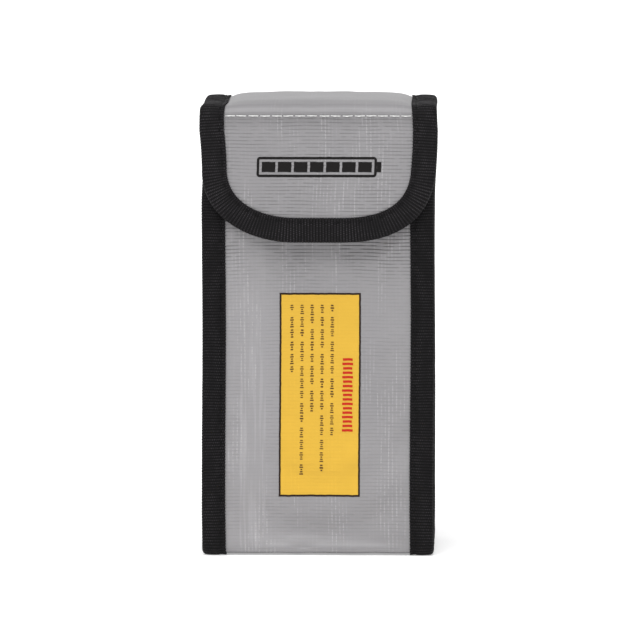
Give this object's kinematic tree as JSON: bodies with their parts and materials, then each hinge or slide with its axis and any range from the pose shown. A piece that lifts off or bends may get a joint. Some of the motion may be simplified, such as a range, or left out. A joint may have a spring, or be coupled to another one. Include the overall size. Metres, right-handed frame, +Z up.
{
  "type": "battery safe bag",
  "caption": "Upright box-shaped fire-resistant cloth bag for a battery pack, with taped seams and a rounded flap that folds over the mouth and closes with hook and loop.",
  "frame": {"origin": "on the ground, under the middle of the closed bag", "axes": "+Z up from the base to the mouth, +Y from the front with the label to the back, +X to the right seen from the front"},
  "size_m": [0.066, 0.05, 0.125],
  "materials": {
    "coated_cloth": "silver silicone coated glass cloth, semi-gloss",
    "lining_cloth": "uncoated glass cloth, matt",
    "binding_tape": "ribbed woven tape, matt",
    "binding_thread": "spun thread, matt",
    "crease_thread": "spun thread, matt",
    "hook_strip": "stiff nylon hooks on a woven base",
    "loop_strip": "soft nylon loops on a woven base",
    "label_print": "screen print on cloth, satin",
    "label_red_print": "screen print on cloth, satin",
    "label_dark_print": "screen print on cloth, satin",
    "emblem_print": "screen print on cloth, satin"
  },
  "bodies": {
    "bag": {"front_panel": "coated_cloth", "back_panel": "coated_cloth", "bottom_panel": "coated_cloth", "left_gusset": "coated_cloth", "right_gusset": "coated_cloth", "front_lining": "lining_cloth", "back_lining": "lining_cloth", "bottom_lining": "lining_cloth", "left_lining": "lining_cloth", "right_lining": "lining_cloth", "left_binding": "binding_tape", "right_binding": "binding_tape", "mouth_front_binding": "binding_tape", "mouth_left_binding": "binding_tape", "mouth_right_binding": "binding_tape", "left_binding_stitches": "binding_thread", "right_binding_stitches": "binding_thread", "loop_strip": "loop_strip", "loop_strip_stitches": "binding_thread", "label_field": "label_print", "label_border": "label_dark_print", "label_heading": "label_red_print", "label_lines": "label_dark_print"},
    "flap_top": {"flap_top_panel": "coated_cloth", "flap_top_lining": "lining_cloth", "flap_top_left_binding": "binding_tape", "flap_top_right_binding": "binding_tape", "flap_top_stitches": "binding_thread"},
    "flap_front": {"flap_panel": "coated_cloth", "flap_lining": "lining_cloth", "flap_binding": "binding_tape", "flap_binding_stitches": "binding_thread", "flap_crease_stitches": "crease_thread", "hook_strip": "hook_strip", "hook_strip_stitches": "binding_thread", "flap_emblem": "emblem_print"}
  },
  "joints": [
    {"name": "flap_lift", "type": "hinge", "parent": "bag", "child": "flap_top", "pos_m": [0, 0.0254, 0.1249], "axis": [-1, 0, 0], "range_deg": [0, 270]},
    {"name": "flap_unfold", "type": "hinge", "parent": "flap_top", "child": "flap_front", "pos_m": [0, -0.02415, 0.12415], "axis": [-1, 0, 0], "range_deg": [0, 90]}
  ]
}
